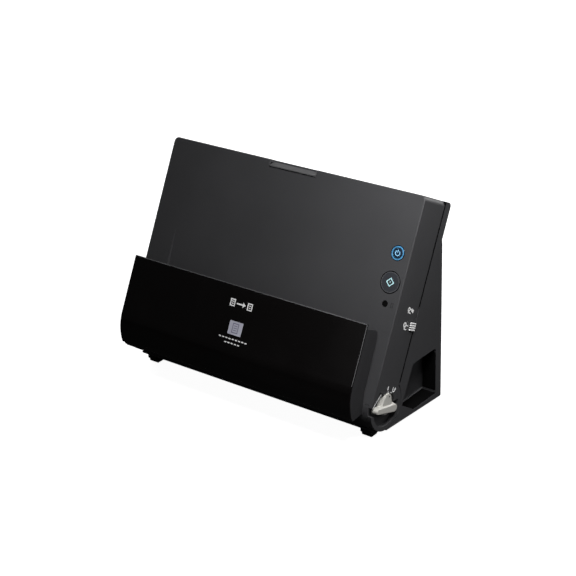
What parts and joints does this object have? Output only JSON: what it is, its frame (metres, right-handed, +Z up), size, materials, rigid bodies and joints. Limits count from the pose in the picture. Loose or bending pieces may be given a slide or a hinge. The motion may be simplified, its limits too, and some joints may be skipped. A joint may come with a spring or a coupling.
{
  "type": "sheet fed document scanner",
  "caption": "Upright sheet fed document scanner with a hinged front unit, gloss eject pocket, side path selector knob, feed lever and a pull-out document tray.",
  "frame": {"origin": "on the ground under the middle of the whole machine", "axes": "+X to the right as seen from the front, +Y to the rear, +Z up"},
  "size_m": [0.3028, 0.154, 0.2197],
  "materials": {
    "body_black": "fine matte grain",
    "panel_gloss": "polished",
    "inner_black": "satin",
    "lever_grey": "fine matte",
    "knob_grey": "fine matte",
    "chassis_steel": "zinc plated",
    "shaft_steel": "ground",
    "bush_white": "satin",
    "pulley_white": "satin",
    "belt_rubber": "matte",
    "roller_rubber": "ground",
    "foot_rubber": "matte",
    "motor_steel": "drawn",
    "circuit_board": "lacquered",
    "sensor_glass": "clear",
    "sensor_body": "matte",
    "ring_blue": "translucent",
    "key_black": "satin",
    "lens_dark": "smoked",
    "port_metal": "plated",
    "screw_steel": "black plated"
  },
  "bodies": {
    "base": {"base_pan": "body_black", "left_side_cover": "body_black", "right_side_cover": "body_black", "rear_cover": "body_black", "rear_slab_cover": "body_black", "front_feet": "foot_rubber", "rear_feet": "foot_rubber", "bay_roof": "inner_black", "right_chassis_plate": "chassis_steel", "left_chassis_plate": "chassis_steel", "hinge_bushes": "bush_white", "path_plate": "inner_black", "rear_sensor_glass": "sensor_glass", "rear_sensor": "sensor_body", "motor": "motor_steel", "motor_bracket": "chassis_steel", "drive_belts": "belt_rubber", "main_board": "circuit_board", "usb_port": "port_metal", "power_jack": "inner_black", "cover_screws": "screw_steel"},
    "motor_rotor": {"motor_pulley": "pulley_white"},
    "feed_drive": {"feed_shaft": "shaft_steel", "feed_roller": "roller_rubber", "feed_pulleys": "pulley_white"},
    "upper_drive": {"upper_shaft": "shaft_steel", "upper_rollers": "roller_rubber", "upper_pulleys": "pulley_white"},
    "lower_drive": {"lower_shaft": "shaft_steel", "lower_rollers": "roller_rubber", "lower_pulley": "pulley_white"},
    "lever": {"feed_lever": "lever_grey"},
    "tray": {"feed_tray": "inner_black"},
    "extension": {"tray_extension": "inner_black"},
    "guide_right": {"right_guide": "inner_black"},
    "guide_left": {"left_guide": "inner_black"},
    "pinion": {"guide_pinion": "bush_white"},
    "front_unit": {"front_cover": "body_black", "lower_cover": "body_black", "turn_guide": "inner_black", "front_inner_guide": "inner_black", "front_sensor_glass": "sensor_glass", "front_sensor": "sensor_body", "roller_brackets": "inner_black", "power_ring": "ring_blue", "status_lens": "lens_dark", "panel_board": "circuit_board", "lever_pin": "shaft_steel", "eject_panel": "panel_gloss", "eject_tray": "inner_black"},
    "open_handle": {"open_lever": "lever_grey"},
    "latch": {"latch_bar": "inner_black"},
    "power_key": {"power_button": "key_black"},
    "start_key": {"start_button": "key_black"},
    "upper_pinch": {"upper_pinch_rollers": "shaft_steel"},
    "lower_pinch": {"lower_pinch_rollers": "shaft_steel"},
    "retard": {"retard_roller": "roller_rubber"},
    "selector": {"selector_knob": "knob_grey", "selector_shaft": "shaft_steel", "selector_flap": "inner_black"}
  },
  "joints": [
    {"name": "front_unit_open", "type": "hinge", "parent": "base", "child": "front_unit", "pos_m": [0, -0.0315, 0.0337], "axis": [1, 0, 0], "range_deg": [0, 40]},
    {"name": "open_lever_pull", "type": "hinge", "parent": "front_unit", "child": "open_handle", "pos_m": [0, 0.03226, 0.20081], "axis": [1, 0, 0], "range_deg": [0, 7]},
    {"name": "latch_slide", "type": "slide", "parent": "front_unit", "child": "latch", "axis": [1, 0, 0], "range_m": [0, 0.0025], "stiffness_N_per_m": 10, "springref_m": -0.005},
    {"name": "power_press", "type": "slide", "parent": "front_unit", "child": "power_key", "axis": [0, 0.8949, -0.4462], "range_m": [0, 0.001], "stiffness_N_per_m": 250, "springref_m": -0.001},
    {"name": "start_press", "type": "slide", "parent": "front_unit", "child": "start_key", "axis": [0, 0.8949, -0.4462], "range_m": [0, 0.001], "stiffness_N_per_m": 250, "springref_m": -0.001},
    {"name": "selector_turn", "type": "hinge", "parent": "front_unit", "child": "selector", "pos_m": [0, -0.0315, 0.0337], "axis": [1, 0, 0], "range_deg": [-25, 0]},
    {"name": "feed_lever_slide", "type": "slide", "parent": "base", "child": "lever", "axis": [0, 0.4462, 0.8949], "range_m": [0, 0.0145]},
    {"name": "tray_slide", "type": "slide", "parent": "base", "child": "tray", "axis": [0, 0.4462, 0.8949], "range_m": [0, 0.06]},
    {"name": "extension_slide", "type": "slide", "parent": "tray", "child": "extension", "axis": [0, 0.4462, 0.8949], "range_m": [0, 0.062]},
    {"name": "right_guide_slide", "type": "slide", "parent": "tray", "child": "guide_right", "axis": [1, 0, 0], "range_m": [-0.07, 0]},
    {"name": "left_guide_slide", "type": "slide", "parent": "tray", "child": "guide_left", "axis": [1, 0, 0], "range_m": [0, 0.07]},
    {"name": "guide_pinion_turn", "type": "hinge", "parent": "tray", "child": "pinion", "pos_m": [0, 0.05145, 0.15995], "axis": [0, 0.8949, -0.4462], "range_deg": [-505, 5]},
    {"name": "feed_roller_spin", "type": "hinge", "parent": "base", "child": "feed_drive", "pos_m": [0, 0.03268, 0.11009], "axis": [1, 0, 0], "continuous": true},
    {"name": "motor_spin", "type": "hinge", "parent": "base", "child": "motor_rotor", "pos_m": [0, 0.044, 0.076], "axis": [1, 0, 0], "continuous": true},
    {"name": "upper_roller_spin", "type": "hinge", "parent": "base", "child": "upper_drive", "pos_m": [0, 0.01794, 0.0895], "axis": [1, 0, 0], "continuous": true},
    {"name": "lower_roller_spin", "type": "hinge", "parent": "base", "child": "lower_drive", "pos_m": [0, -0.0008, 0.05191], "axis": [1, 0, 0], "continuous": true},
    {"name": "retard_roller_spin", "type": "hinge", "parent": "front_unit", "child": "retard", "pos_m": [0, 0.01451, 0.11915], "axis": [1, 0, 0], "continuous": true},
    {"name": "upper_pinch_spin", "type": "hinge", "parent": "front_unit", "child": "upper_pinch", "pos_m": [0, 0.00694, 0.09499], "axis": [1, 0, 0], "continuous": true},
    {"name": "lower_pinch_spin", "type": "hinge", "parent": "front_unit", "child": "lower_pinch", "pos_m": [0, -0.0118, 0.0574], "axis": [1, 0, 0], "continuous": true}
  ],
  "couplings": [
    {"joint": "open_lever_pull", "follows": "latch_slide", "rad_per_m": 48.8},
    {"joint": "left_guide_slide", "follows": "right_guide_slide", "ratio": -1},
    {"joint": "guide_pinion_turn", "follows": "right_guide_slide", "rad_per_m": 125},
    {"joint": "motor_spin", "follows": "feed_roller_spin", "ratio": 1.6667},
    {"joint": "upper_roller_spin", "follows": "feed_roller_spin", "ratio": 1},
    {"joint": "lower_roller_spin", "follows": "feed_roller_spin", "ratio": 1},
    {"joint": "retard_roller_spin", "follows": "feed_roller_spin", "ratio": -1.2222},
    {"joint": "upper_pinch_spin", "follows": "feed_roller_spin", "ratio": -1.4},
    {"joint": "lower_pinch_spin", "follows": "feed_roller_spin", "ratio": -1.4}
  ]
}
